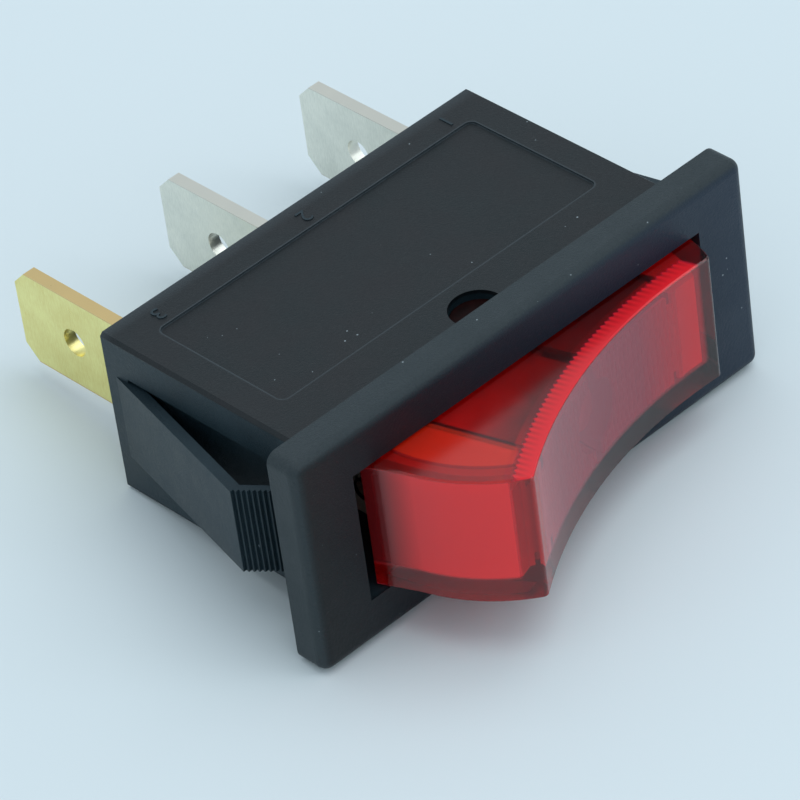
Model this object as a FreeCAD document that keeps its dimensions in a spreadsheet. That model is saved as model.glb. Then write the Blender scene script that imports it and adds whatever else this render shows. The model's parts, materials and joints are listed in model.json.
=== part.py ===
import FreeCAD, Part
import math
import os
import re
import Sketcher
from FreeCAD import Rotation, Vector

# Illuminated panel rocker switch, single pole, three quick-connect tabs.
# Origin: centre of the bezel's rear face, where the switch seats on its panel.
# +X runs along the rocker, -Y out of the panel towards the finger, +Z across.

SIZES = {
    # Bezel, the flange in front of the panel
    "bezel_length": 34.5,
    "bezel_height": 14.4,
    "bezel_thick": 2.2,
    "bezel_round": 0.7,
    # Body box behind the panel
    "body_length": 28.7,
    "body_height": 11.0,
    "body_depth": 16.8,
    "body_bevel": 0.2,
    "side_wall": 1.15,
    "end_wall": 0.95,
    "rear_wall": 1.9,
    # Shallow field on each long side of the body
    "field_front": 4.3,
    "field_margin": 2.35,
    "field_half": 12.2,
    "field_deep": 0.12,
    "field_round": 0.5,
    # Sprung snap-in wing on each short end
    "wing_margin": 0.8,
    "wing_nose": 3.65,
    "wing_flare": 2.85,
    "wing_thick": 0.7,
    "wing_height": 5.66,
    "wing_slit": 0.27,
    "wing_relief": 0.45,
    "relief_margin": 1.8,
    "lip_length": 3.95,
    "lip_angle": 52.6,
    "lip_thick": 0.5,
    "tooth_pitch": 0.3,
    "tooth_deep": 0.17,
    "tooth_count": 12,
    # Rocker, measured from its pivot with the rocker level
    "pivot_depth": 1.7,
    "pivot_window": 3.3,
    "pivot_fit": 0.05,
    "pin_inset": 0.6,
    "throw": 16.0,
    "rocker_half": 12.5,
    "rocker_gap": 0.15,
    "end_shoulder": 2.5,
    "tip_half": 10.2,
    "tip_reach": 8.95,
    "dish_deep": 1.75,
    "shell_wall": 1.2,
    "front_wall": 1.45,
    "tip_round": 0.35,
    "edge_bevel": 0.1,
    "skirt_rear": 0.2,
    "hub_radius": 2.9,
    "prism_pitch": 0.42,
    "prism_deep": 0.22,
    "prism_count": 41,
    "baffle_place": 7.8,
    "baffle_thick": 0.5,
    "baffle_height": 0.7,
    # Stem inside the rocker, with the sprung plunger in it
    "stem_width": 4.4,
    "plunger_proud": 3.9,
    "stem_floor": 3.0,
    "web_thick": 0.9,
    "plunger_width": 2.4,
    "plunger_fit": 0.07,
    "plunger_head": 0.9,
    "spring_width": 2.2,
    "spring_wire": 0.34,
    "spring_turns": 4.0,
    # Seesaw contact arm
    "arm_thick": 0.5,
    "arm_width": 3.4,
    "arm_slope": 15.0,
    "arm_flank": 3.2,
    "arm_reach": 11.0,
    "arm_tilt": 6.0,
    "arm_corner": 1.0,
    "ear_span": 5.6,
    "ear_fit": 0.05,
    "plunger_gap": 0.2,
    # Contact rivets
    "contact_place": 9.6,
    "contact_width": 2.8,
    "contact_thick": 0.7,
    "contact_bevel": 0.25,
    "contact_gap": 0.05,
    "shank_width": 1.4,
    "shank_fit": 0.02,
    "tail_width": 1.7,
    "tail_thick": 0.3,
    # Quick-connect tabs and what carries them inside
    "tab_width": 6.35,
    "tab_thick": 0.8,
    "tab_length": 11.3,
    "tab_pitch": 11.2,
    "tab_chamfer": 1.2,
    "tab_bevel": 0.2,
    "tab_hole": 1.8,
    "tab_hole_place": 6.4,
    "slot_fit": 0.04,
    "ear_height": 7.8,
    "ear_length": 1.0,
    "foot_width": 5.0,
    "foot_length": 3.6,
    "bend_inside": 0.4,
    "fork_width": 5.8,
    "fork_gap": 3.8,
    "fork_floor": 3.0,
    "rail_half": 2.4,
    "rail_thick": 0.8,
    "rail_height": 2.7,
    # Stops for the rocker, and the lamp's carrier that rests on two of them
    "stop_gap": 0.11,
    "stop_length": 1.2,
    "stop_height": 1.3,
    "carrier_fit": 0.1,
    "carrier_thick": 0.8,
    "carrier_inner": 4.5,
    "carrier_leg": 5.7,
    "saddle_thick": 0.8,
    "saddle_height": 5.2,
    # Neon lamp, its wires and its resistor
    "lamp_depth": 0.8,
    "lamp_seal": 4.15,
    "lamp_length": 6.4,
    "lamp_width": 3.9,
    "glass_wall": 0.35,
    "seal_length": 1.1,
    "seal_width": 2.2,
    "electrode_width": 0.7,
    "electrode_length": 3.6,
    "electrode_offset": 0.6,
    "lead_width": 0.4,
    "lead_fit": 0.02,
    "lead_place": 3.75,
    "lead_bend": 0.35,
    "splice_front": 4.8,
    "splice_length": 2.0,
    "splice_width": 0.9,
    "resistor_near": 5.6,
    "resistor_length": 3.8,
    "resistor_width": 1.8,
    "resistor_waist": 1.5,
    "lead_rear_place": 10.2,
}

# Depths and radii that follow from the sizes above
FLOOR = "(body_depth - rear_wall)"
CAVITY_HALF = "(body_length/2 - end_wall)"
CAVITY_HEIGHT = "(body_height - 2*side_wall)"
ROCKER_WIDTH = f"({CAVITY_HEIGHT} - 2*rocker_gap)"
DISH_RADIUS = "((tip_half^2 + dish_deep^2) / (2*dish_deep))"
DISH_FRONT = "(tip_reach - dish_deep)"
END_IN = "(rocker_half - tip_half)"
END_OUT = "(tip_reach - end_shoulder)"
END_RADIUS = f"(({END_IN}^2 + {END_OUT}^2) / (2*{END_IN}))"
REST_STOP = "(pivot_depth + rocker_half*sin(throw) + skirt_rear*cos(throw) + stop_gap)"
CARRIER_REAR = f"({REST_STOP} + carrier_thick)"
FOOT_REAR = f"({FLOOR} - rail_height)"
FOOT_FRONT = f"({FOOT_REAR} - tab_thick)"
CONTACT_DIP = "((contact_width/2 - contact_bevel)*sin(arm_tilt))"
TOUCH_Y = f"({FOOT_FRONT} - contact_thick - contact_gap - {CONTACT_DIP})"
ARM_RISE = "(arm_flank*tan(arm_slope))"
ARM_REAR = "(arm_thick/2 + contact_thick)"
CONTACT_SWING = f"(contact_place*sin(arm_tilt) - {ARM_RISE}*cos(arm_tilt))"
TOUCH_X = f"(contact_place*cos(arm_tilt) + {ARM_RISE}*sin(arm_tilt) - {ARM_REAR}*sin(arm_tilt))"
FULCRUM = f"({TOUCH_Y} - {CONTACT_SWING} - {ARM_REAR}*cos(arm_tilt))"
PLUNGER_REACH = f"({FULCRUM} - pivot_depth - arm_thick/2 - plunger_gap)"
STEM_REAR = f"({PLUNGER_REACH} - plunger_proud)"
TAB_TIP = "(body_depth + tab_length)"
WING_ROOT = "(body_depth - wing_margin)"
NOSE_X = "(body_length/2 + wing_flare)"
LIP_X = f"({NOSE_X} - lip_length*cos(lip_angle))"
RESISTOR_DEPTH = f"(({CARRIER_REAR} + {FOOT_FRONT})/2)"
ELECTRODE_END = "-(lamp_seal + seal_length + lead_width/2)"
SPLICE_MIDDLE = "(splice_front + splice_length/2)"
LIP_Y = "(wing_nose - lip_length*sin(lip_angle))"
PRISM_RADIUS = f"({DISH_RADIUS} + front_wall)"
SPRING_LENGTH = "(stem_floor + plunger_head)"

doc = FreeCAD.newDocument("RockerSwitch")
sheet = doc.addObject("Spreadsheet::Sheet", "Size")
WORD = re.compile(r"[a-z_]+")
pieces = []


def fill_sheet():
    """Writes each driving size beside its name."""
    for row, (name, value) in enumerate(SIZES.items(), start=1):
        sheet.set(f"A{row}", name)
        sheet.set(f"B{row}", str(value))
        sheet.setAlias(f"B{row}", name)
    doc.recompute()


def link(text):
    """An expression in which every size's name points at its cell."""
    return WORD.sub(lambda word: "Size." + word.group() if word.group() in SIZES else word.group(), text)


def value(text):
    """What an expression comes to, in millimetres or degrees."""
    return float(sheet.evalExpression(link(text)))


def bind(item, **sizes):
    """Ties properties to expressions; a double underscore stands for a dot."""
    for name, text in sizes.items():
        item.setExpression(name.replace("__", "."), link(text))


def new_body(label, **place):
    body = doc.addObject("PartDesign::Body", label)
    body.Label = label
    pieces.append(body)
    for axis, text in place.items():
        name = "Placement.Rotation.Angle" if axis == "turn" else f"Placement.Base.{axis}"
        body.setExpression(name, link(text))
    return body


def plane(body, role):
    return [item for item in body.Origin.OriginFeatures if item.Role == role][0]


def sketch(body, role, shift=None):
    """A sketch on an origin plane: XY shows (x, y), XZ shows (x, z) from behind, YZ shows (y, z)."""
    flat = body.newObject("Sketcher::SketchObject", body.Label + "_sketch")
    flat.AttachmentSupport = (plane(body, role), "")
    flat.MapMode = "FlatFace"
    if shift:
        bind(flat, AttachmentOffset__Base__z=shift)
    return flat


def fix(flat, kind, edge, end, text):
    """Holds one coordinate of a point at an expression's value."""
    rule = flat.addConstraint(Sketcher.Constraint(kind, -1, 1, edge, end, value(text)))
    flat.setExpression(f"Constraints[{rule}]", link(text))


def arc_centre(start, stop, radius):
    """Centre of the arc from start to stop; a positive radius keeps it on the left."""
    middle = (start + stop) * 0.5
    chord = stop - start
    left = Vector(-chord.y, chord.x, 0).normalize()
    rise = math.sqrt(max(radius**2 - (chord.Length / 2) ** 2, 0.0))
    return middle + left * math.copysign(rise, radius)


def add_edge(flat, start, stop, arc):
    """Adds a line, or an arc given by its radius or its centre and radius."""
    if not arc:
        return flat.addGeometry(Part.LineSegment(start, stop), False), 1, 2
    radius = value(arc[-1])
    centre = Vector(value(arc[0]), value(arc[1]), 0) if len(arc) == 3 else arc_centre(start, stop, radius)
    first, last, ends = (start, stop, (1, 2)) if radius > 0 else (stop, start, (2, 1))
    angles = [math.atan2(point.y - centre.y, point.x - centre.x) for point in (first, last)]
    circle = Part.Circle(centre, Vector(0, 0, 1), abs(radius))
    edge = flat.addGeometry(Part.ArcOfCircle(circle, *angles), False)
    return edge, *ends


def draw(flat, corners, closed=True):
    """Draws an outline through corners (x, y), each with the arc that follows it, if any.

    A coordinate that starts with ~ is only near its place: the arcs beside it fix it.
    """
    spots = [Vector(value(c[0].lstrip("~")), value(c[1].lstrip("~")), 0) for c in corners]
    count = len(corners) if closed else len(corners) - 1
    edges = []
    for i in range(count):
        edges.append(add_edge(flat, spots[i], spots[(i + 1) % len(spots)], corners[i][2:]))
    for i in range(count if closed else count - 1):
        (edge, _, end), (follower, begin, _) = edges[i], edges[(i + 1) % count]
        flat.addConstraint(Sketcher.Constraint("Coincident", edge, end, follower, begin))
    for i, corner in enumerate(corners):
        edge, end = edges[i][:2] if i < count else (edges[-1][0], edges[-1][2])
        for kind, text in zip(("DistanceX", "DistanceY"), corner):
            if not text.startswith("~"):
                fix(flat, kind, edge, end, text)
    for (edge, _, _), corner in zip(edges, corners):
        arc = corner[2:]
        if len(arc) == 3:
            fix(flat, "DistanceX", edge, 3, arc[0])
            fix(flat, "DistanceY", edge, 3, arc[1])
        if arc:
            size = arc[-1].lstrip("-")
            rule = flat.addConstraint(Sketcher.Constraint("Radius", edge, value(size)))
            flat.setExpression(f"Constraints[{rule}]", link(size))
    return flat


def rectangle(flat, low_x, low_y, high_x, high_y):
    return draw(flat, [(low_x, low_y), (high_x, low_y), (high_x, high_y), (low_x, high_y)])


def eased(flat, low_x, low_y, high_x, high_y, size, rounded=False):
    """A rectangle drawn anticlockwise, its corners cut straight or rounded."""
    arc = (size,) if rounded else ()
    corners = [
        (f"{low_x} + {size}", low_y),
        (f"{high_x} - {size}", low_y, *arc),
        (high_x, f"{low_y} + {size}"),
        (high_x, f"{high_y} - {size}", *arc),
        (f"{high_x} - {size}", high_y),
        (f"{low_x} + {size}", high_y, *arc),
        (low_x, f"{high_y} - {size}"),
        (low_x, f"{low_y} + {size}", *arc),
    ]
    return draw(flat, corners)


def circle(flat, x, y, width):
    centre = Vector(value(x), value(y), 0)
    edge = flat.addGeometry(Part.Circle(centre, Vector(0, 0, 1), value(width) / 2), False)
    fix(flat, "DistanceX", edge, 3, x)
    fix(flat, "DistanceY", edge, 3, y)
    rule = flat.addConstraint(Sketcher.Constraint("Diameter", edge, value(width)))
    flat.setExpression(f"Constraints[{rule}]", link(width))
    return flat


def feature(kind, flat, both=False, back=False, **sizes):
    """A feature made from a sketch of its own body; it must change the body's volume."""
    body = flat.getParentGeoFeatureGroup()
    before = body.Shape.Volume if body.Tip and not body.Shape.isNull() else 0.0
    item = body.newObject("PartDesign::" + kind, f"{body.Label}_{kind.lower()}")
    item.Profile = flat
    if both:
        item.SideType = "Symmetric"
    if back:
        item.Reversed = True
    bind(item, **sizes)
    doc.recompute()
    grown = body.Shape.Volume - before
    if grown * (-1 if kind in ("Pocket", "Groove") else 1) < 1e-6:
        raise ValueError(f"{item.Label} changed nothing")
    return item


def pad(flat, length, **options):
    return feature("Pad", flat, Length=length, **options)


def pocket(flat, length, **options):
    return feature("Pocket", flat, Length=length, **options)


def revolve(flat, axis):
    """Turns a sketch once round its own H_Axis or V_Axis."""
    body = flat.getParentGeoFeatureGroup()
    item = body.newObject("PartDesign::Revolution", body.Label + "_revolution")
    item.Profile = flat
    item.ReferenceAxis = (flat, [axis])
    item.Angle = 360
    doc.recompute()
    return item


def dress_edges(body, kind, wanted, **sizes):
    """Puts a Fillet or a Chamfer on the edges of the body that the test picks."""
    base = body.Tip
    names = [f"Edge{i}" for i, edge in enumerate(base.Shape.Edges, start=1) if wanted(edge)]
    item = body.newObject("PartDesign::" + kind, f"{body.Label}_{kind.lower()}")
    item.Base = (base, names)
    bind(item, **sizes)
    doc.recompute()
    return item


def round_edges(body, radius, wanted):
    return dress_edges(body, "Fillet", wanted, Radius=radius)


def bevel_edges(body, size, wanted):
    return dress_edges(body, "Chamfer", wanted, Size=size)


def near(a, b):
    return abs(a - b) < 1e-4


def runs_along(edge, axis):
    """Whether an edge runs straight along X, Y or Z, given as 0, 1 or 2."""
    box = edge.BoundBox
    spans = [box.XLength, box.YLength, box.ZLength]
    return spans[axis] > 0.01 and near(sum(spans), spans[axis])


def lies_at(edge, side):
    """Whether an edge lies in one of the two planes that far to either side in Z."""
    box = edge.BoundBox
    return near(box.ZLength, 0.0) and near(abs(box.ZMax), side)


def make_housing():
    body = new_body("housing")
    add_bezel(body)
    add_body_box(body)
    add_wings(body)
    add_inside(body)
    return body


def add_bezel(body):
    """The flange: sharp behind, rounded at its corners and all round in front."""
    flat = sketch(body, "XZ_Plane")
    rectangle(flat, "-bezel_length/2", "-bezel_height/2", "bezel_length/2", "bezel_height/2")
    pad(flat, "bezel_thick")
    front = -value("bezel_thick")
    round_edges(body, "bezel_round", lambda edge: runs_along(edge, 1) or near(edge.BoundBox.YMax, front))


def add_body_box(body):
    """The box, its hollow open through the bezel, the pivot windows and the side fields."""
    flat = sketch(body, "XZ_Plane")
    eased(flat, "-body_length/2", "-body_height/2", "body_length/2", "body_height/2", "body_bevel")
    pad(flat, "body_depth", back=True)
    flat = sketch(body, "XZ_Plane", "bezel_thick")
    rectangle(flat, f"-{CAVITY_HALF}", f"-{CAVITY_HEIGHT}/2", CAVITY_HALF, f"{CAVITY_HEIGHT}/2")
    pocket(flat, f"bezel_thick + {FLOOR}")
    pocket(circle(sketch(body, "XY_Plane"), "0", "pivot_depth", "pivot_window"), "bezel_height", both=True)
    for sign in ("", "-"):
        flat = sketch(body, "XY_Plane", sign + "body_height/2")
        far = "body_depth - field_margin"
        eased(flat, "-field_half", "field_front", "field_half", far, "field_round", rounded=True)
        pocket(flat, "field_deep", back=sign == "-")


def add_wings(body):
    """A sprung wing on each end: it leaves the end at the rear, flares out and turns back in a lip."""
    flat = sketch(body, "XY_Plane")
    for side in ("", "-"):
        face = f"{side}(body_length/2 - wing_relief)"
        far = f"{side}(body_length/2 + wing_relief)"
        rectangle(flat, face, "0", far, "body_depth - relief_margin")
    pocket(flat, "wing_height + 2*wing_slit", both=True)
    flat = sketch(body, "XY_Plane")
    for side in ("", "-"):
        draw(
            flat,
            [
                (f"{side}body_length/2", WING_ROOT),
                (f"{side}{NOSE_X}", "wing_nose"),
                (f"{side}{LIP_X}", LIP_Y),
                (f"{side}({LIP_X} - lip_thick*sin(lip_angle))", f"{LIP_Y} + lip_thick*cos(lip_angle)"),
                (f"{side}({NOSE_X} - wing_thick)", "wing_nose"),
                (f"{side}(body_length/2 - wing_thick)", WING_ROOT),
            ],
        )
    pad(flat, "wing_height", both=True)
    add_teeth(body)


def add_teeth(body):
    """A row of V grooves down each lip, cut once and repeated."""
    flat = sketch(body, "XY_Plane")
    bind(
        flat,
        AttachmentOffset__Base__x=NOSE_X,
        AttachmentOffset__Base__y="wing_nose",
        AttachmentOffset__Rotation__Angle="180 + lip_angle",
    )
    doc.recompute()
    draw(flat, [("0.1*tooth_pitch", "0"), ("0.5*tooth_pitch", "-tooth_deep"), ("0.9*tooth_pitch", "0")])
    groove = pocket(flat, "2*wing_height", both=True)
    transform = body.newObject("PartDesign::MultiTransform", "lip_teeth")
    transform.Originals = [groove]
    row = body.newObject("PartDesign::LinearPattern", "tooth_row")
    row.Direction = (flat, ["H_Axis"])
    bind(row, Length="(tooth_count - 1)*tooth_pitch", Occurrences="tooth_count")
    mirror = body.newObject("PartDesign::Mirrored", "tooth_mirror")
    mirror.MirrorPlane = (plane(body, "YZ_Plane"), "")
    transform.Transformations = [row, mirror]
    body.Tip = transform
    doc.recompute()


def add_inside(body):
    """Rocker stops in the corners, rails under the contact feet, and the slots for the tabs."""
    for end, top in (("-", CARRIER_REAR), ("", REST_STOP)):
        flat = sketch(body, "XZ_Plane", f"-{FLOOR}")
        for side in ("", "-"):
            inner, outer = f"{end}({CAVITY_HALF} - stop_length)", f"{end}{CAVITY_HALF}"
            low, high = f"{side}({CAVITY_HEIGHT}/2 - stop_height)", f"{side}{CAVITY_HEIGHT}/2"
            rectangle(flat, inner, low, outer, high)
        pad(flat, f"{FLOOR} - {top}")
    flat = sketch(body, "XZ_Plane", f"-{FLOOR}")
    for end in ("-", ""):
        for side in ("", "-"):
            inner, outer = f"{end}(tab_pitch - foot_length)", f"{end}(tab_pitch - tab_thick)"
            low, high = f"{side}(rail_half - rail_thick)", f"{side}rail_half"
            rectangle(flat, inner, low, outer, high)
    pad(flat, f"{FLOOR} - {FOOT_REAR}")
    flat = sketch(body, "XZ_Plane", f"-{FLOOR}")
    for place in ("-tab_pitch", "0", "tab_pitch"):
        half_x, half_z = "(tab_thick/2 + slot_fit)", "(tab_width/2 + slot_fit)"
        rectangle(flat, f"{place} - {half_x}", f"-{half_z}", f"{place} + {half_x}", half_z)
    pocket(flat, "rear_wall")


def make_rocker():
    """A hollow red shell: dished front, rounded ends, flat sides with a hub and a pin each."""
    body = new_body("rocker", y="pivot_depth", turn="throw")
    hub_x = "sqrt(hub_radius^2 - skirt_rear^2)"
    flat = draw(
        sketch(body, "XY_Plane"),
        [
            ("-rocker_half", "skirt_rear"),
            ("-rocker_half", "-end_shoulder", END_RADIUS),
            ("-tip_half", "-tip_reach", f"-{DISH_RADIUS}"),
            ("tip_half", "-tip_reach", END_RADIUS),
            ("rocker_half", "-end_shoulder"),
            ("rocker_half", "skirt_rear"),
            (hub_x, "skirt_rear", "hub_radius"),
            (f"-{hub_x}", "skirt_rear"),
        ],
    )
    pad(flat, ROCKER_WIDTH, both=True)
    shoulder, side = -value("end_shoulder"), value(f"{ROCKER_WIDTH}/2")
    round_edges(body, "tip_round", lambda edge: runs_along(edge, 2) and edge.BoundBox.YMax < shoulder - 1e-3)
    bevel_edges(body, "edge_bevel", lambda edge: lies_at(edge, side) and edge.BoundBox.YMin < 0)
    add_shell(body)
    add_prisms(body)
    add_baffles(body)
    add_stem(body)
    add_pins(body)
    return body


def add_shell(body):
    """Hollows the rocker from behind, following its front and its ends."""
    end_x = f"(rocker_half - {END_RADIUS})"
    end_in = f"({END_RADIUS} - shell_wall)"
    corner_x, corner_y = "~-(tip_half - shell_wall)", "~-(tip_reach - front_wall)"
    dish = ("0", f"-({DISH_FRONT} + {DISH_RADIUS})", f"-{PRISM_RADIUS}")
    flat = draw(
        sketch(body, "XY_Plane"),
        [
            ("-(rocker_half - shell_wall)", "hub_radius"),
            ("~-(rocker_half - shell_wall)", "-end_shoulder", f"-{end_x}", "-end_shoulder", end_in),
            (corner_x, corner_y, *dish),
            (corner_x.replace("-", "", 1), corner_y, end_x, "-end_shoulder", end_in),
            ("~rocker_half - shell_wall", "-end_shoulder"),
            ("rocker_half - shell_wall", "hub_radius"),
        ],
    )
    pocket(flat, f"{ROCKER_WIDTH} - 2*shell_wall", both=True)


def add_prisms(body):
    """Fine upright grooves inside the front wall, evenly round the dish, that spread the lamp's light."""
    flat = sketch(body, "XY_Plane")
    bind(flat, AttachmentOffset__Base__y=f"-({DISH_FRONT} + {DISH_RADIUS})")
    doc.recompute()
    crest = f"{PRISM_RADIUS} + 0.02"
    draw(
        flat,
        [
            ("-prism_pitch/2", crest),
            ("0", f"{PRISM_RADIUS} - prism_deep"),
            ("prism_pitch/2", crest),
        ],
    )
    groove = pocket(flat, f"{ROCKER_WIDTH} - 2*shell_wall", both=True)
    transform = body.newObject("PartDesign::MultiTransform", "prism_rows")
    transform.Originals = [groove]
    row = body.newObject("PartDesign::PolarPattern", "prism_row")
    row.Axis = (flat, ["N_Axis"])
    bind(
        row,
        Angle=f"(prism_count - 1)/2 * prism_pitch / {PRISM_RADIUS} * 180 / pi",
        Occurrences="(prism_count + 1)/2",
    )
    mirror = body.newObject("PartDesign::Mirrored", "prism_mirror")
    mirror.MirrorPlane = (plane(body, "YZ_Plane"), "")
    transform.Transformations = [row, mirror]
    body.Tip = transform
    doc.recompute()


def add_baffles(body):
    """Low fins across the side walls, which part each end's chamber from the middle."""
    flat = sketch(body, "XY_Plane", f"{ROCKER_WIDTH}/2 - shell_wall")
    for side in ("", "-"):
        inner, outer = f"{side}(baffle_place - baffle_thick/2)", f"{side}(baffle_place + baffle_thick/2)"
        rectangle(flat, inner, f"-{DISH_FRONT}", outer, "skirt_rear")
    fins = pad(flat, "baffle_height", back=True)
    mirror = body.newObject("PartDesign::Mirrored", "lower_baffles")
    mirror.Originals = [fins]
    mirror.MirrorPlane = (plane(body, "XY_Plane"), "")
    body.Tip = mirror
    doc.recompute()


def add_stem(body):
    """The round stem in the middle of the shell, its cross web and the plunger's bore."""
    depth = f"{DISH_FRONT} - front_wall/2"
    half = f"({ROCKER_WIDTH} - shell_wall)/2"
    flat = sketch(body, "XZ_Plane")
    rectangle(flat, "-web_thick/2", f"-{half}", "web_thick/2", half)
    pad(flat, depth)
    pad(circle(sketch(body, "XZ_Plane", f"-{STEM_REAR}"), "0", "0", "stem_width"), f"{STEM_REAR} + {depth}")
    bore = circle(sketch(body, "XZ_Plane", f"-{STEM_REAR}"), "0", "0", "plunger_width + 2*plunger_fit")
    pocket(bore, f"{STEM_REAR} + stem_floor", back=True)


def add_pins(body):
    """A short pin on each side, which snaps into the housing's window."""
    start = f"({ROCKER_WIDTH} - shell_wall)/2"
    flat = circle(sketch(body, "XY_Plane", start), "0", "0", "pivot_window - 2*pivot_fit")
    pin = pad(flat, f"body_height/2 - pin_inset - {start}")
    mirror = body.newObject("PartDesign::Mirrored", "far_pin")
    mirror.Originals = [pin]
    mirror.MirrorPlane = (plane(body, "XY_Plane"), "")
    body.Tip = mirror
    doc.recompute()


def make_plunger():
    """A nylon pin with a round tip."""
    body = new_body("plunger", y="pivot_depth", turn="throw")
    radius, centre = "plunger_width/2", f"{PLUNGER_REACH} - plunger_width/2"
    flat = draw(
        sketch(body, "XY_Plane"),
        [("0", "plunger_head"), (radius, "plunger_head"), (radius, centre, radius), ("0", PLUNGER_REACH)],
    )
    revolve(flat, "V_Axis")
    return body


def make_spring():
    """A coil spring from the stem's blind end to the plunger's head, its wire four-sided."""
    body = new_body("plunger_spring", y="pivot_depth", turn="throw")
    centre, middle, half = "(spring_width - spring_wire)/2", "spring_wire/2 - stem_floor", "spring_wire/2"
    flat = draw(
        sketch(body, "XY_Plane"),
        [
            (f"{centre} + {half}", middle),
            (centre, f"{middle} + {half}"),
            (f"{centre} - {half}", middle),
            (centre, f"{middle} - {half}"),
        ],
    )
    coil = body.newObject("PartDesign::AdditiveHelix", "coil")
    coil.Profile = flat
    coil.ReferenceAxis = (flat, ["V_Axis"])
    coil.Mode = "pitch-height-angle"
    height = f"({SPRING_LENGTH} - spring_wire)"
    bind(coil, Height=height, Pitch=f"{height}/spring_turns")
    doc.recompute()
    return body


def make_arm():
    """A bent copper strip: two flanks rise from the fulcrum, and one runs on to the contact."""
    body = new_body("contact_arm", y=FULCRUM, turn="-arm_tilt")
    rise, half = ARM_RISE, "arm_thick/2"
    flat = draw(
        sketch(body, "XY_Plane"),
        [
            ("-arm_flank", f"-{rise} - {half}"),
            ("0", f"-{half}"),
            ("arm_flank", f"-{rise} - {half}"),
            ("arm_reach", f"-{rise} - {half}"),
            ("arm_reach", f"-{rise} + {half}"),
            ("arm_flank", f"-{rise} + {half}"),
            ("0", half),
            ("-arm_flank", f"-{rise} + {half}"),
        ],
    )
    pad(flat, "arm_width", both=True)
    reach = value("arm_reach")
    round_edges(body, "arm_corner", lambda edge: runs_along(edge, 1) and near(edge.BoundBox.XMax, reach))
    pad(circle(sketch(body, "XY_Plane"), "0", "0", "arm_thick"), "ear_span", both=True)
    hole = circle(sketch(body, "XZ_Plane"), "contact_place", "0", "shank_width + 2*shank_fit")
    pocket(hole, f"2*({rise} + arm_thick)", both=True)
    return body


def make_rivet(label, grip, **place):
    """A contact rivet on its own Y axis: bevelled head ahead of y = 0, tail behind the strip it grips."""
    body = new_body(label, **place)
    flat = draw(
        sketch(body, "XY_Plane"),
        [
            ("0", "contact_thick"),
            ("contact_width/2 - contact_bevel", "contact_thick"),
            ("contact_width/2", "contact_thick - contact_bevel"),
            ("contact_width/2", "0"),
            ("shank_width/2", "0"),
            ("shank_width/2", f"-{grip}"),
            ("tail_width/2", f"-{grip}"),
            ("tail_width/2", f"-{grip} - tail_thick"),
            ("0", f"-{grip} - tail_thick"),
        ],
    )
    revolve(flat, "V_Axis")
    return body


def make_moving_contact():
    """The arm's rivet, its head towards the rear."""
    offset = "(arm_thick/2)"
    rise = f"({ARM_RISE} - {offset})"
    return make_rivet(
        "moving_contact",
        "arm_thick",
        x=f"contact_place*cos(arm_tilt) - {rise}*sin(arm_tilt)",
        y=f"{FULCRUM} - contact_place*sin(arm_tilt) - {rise}*cos(arm_tilt)",
        turn="-arm_tilt",
    )


def make_fixed_contact():
    """The supply terminal's rivet, its head towards the front."""
    return make_rivet("fixed_contact", "tab_thick", x=TOUCH_X, y=FOOT_FRONT, turn="180")


def blade_outline(inner):
    """Half of a tab's outline, from the chamfered tip to the ears that stop it in the housing."""
    half, ear = "tab_width/2", "ear_height/2"
    ear_front = f"({FLOOR} - ear_length)"
    return [
        (TAB_TIP, f"{half} - tab_chamfer"),
        (f"{TAB_TIP} - tab_chamfer", half),
        (FLOOR, half),
        (FLOOR, ear),
        (ear_front, ear),
        (ear_front, inner),
    ]


def mirrored(corners):
    """An outline's corners, followed by their mirror images in reverse."""
    return corners + [(x, f"-({z})") for x, z in reversed(corners)]


def finish_tab(body):
    """The detent hole, and a bevel on either side of the tip."""
    hole = circle(sketch(body, "YZ_Plane"), "body_depth + tab_hole_place", "0", "tab_hole")
    pocket(hole, "2*tab_thick", both=True)
    tip = value(TAB_TIP)
    bevel_edges(body, "tab_bevel", lambda edge: runs_along(edge, 2) and near(edge.BoundBox.YMin, tip))


def make_footed_terminal(label, end):
    """A tab whose inner end bends towards the middle of the switch and lies on the housing's rails."""
    body = new_body(label, x=f"{end}tab_pitch")
    flat = draw(sketch(body, "YZ_Plane"), mirrored(blade_outline("foot_width/2")))
    pad(flat, "tab_thick", both=True)
    finish_tab(body)
    inward = "" if end == "-" else "-"
    turn = "" if end == "-" else "-"
    half, tip = "tab_thick/2", f"{inward}foot_length"
    bend_outside = "(bend_inside + tab_thick)"
    other = "-" if inward == "" else ""
    flat = draw(
        sketch(body, "XY_Plane"),
        [
            (f"{other}{half}", f"{FLOOR} - ear_length"),
            (f"{other}{half}", f"{FOOT_FRONT} + {bend_outside}", f"{turn}{bend_outside}"),
            (f"{other}({half} - {bend_outside})", FOOT_FRONT),
            (tip, FOOT_FRONT),
            (tip, FOOT_REAR),
            (f"{inward}({half} + bend_inside)", FOOT_REAR, f"{other}bend_inside"),
            (f"{inward}{half}", f"{FOOT_REAR} + bend_inside"),
            (f"{inward}{half}", f"{FLOOR} - ear_length"),
        ],
    )
    pad(flat, "foot_width", both=True)
    return body


def make_supply_terminal():
    """The far tab; its foot carries the fixed contact."""
    body = make_footed_terminal("terminal_supply", "")
    hole = circle(sketch(body, "XZ_Plane"), f"{TOUCH_X} - tab_pitch", "0", "shank_width + 2*shank_fit")
    pocket(hole, f"{FOOT_REAR} + bend_inside/2")
    return body


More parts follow.
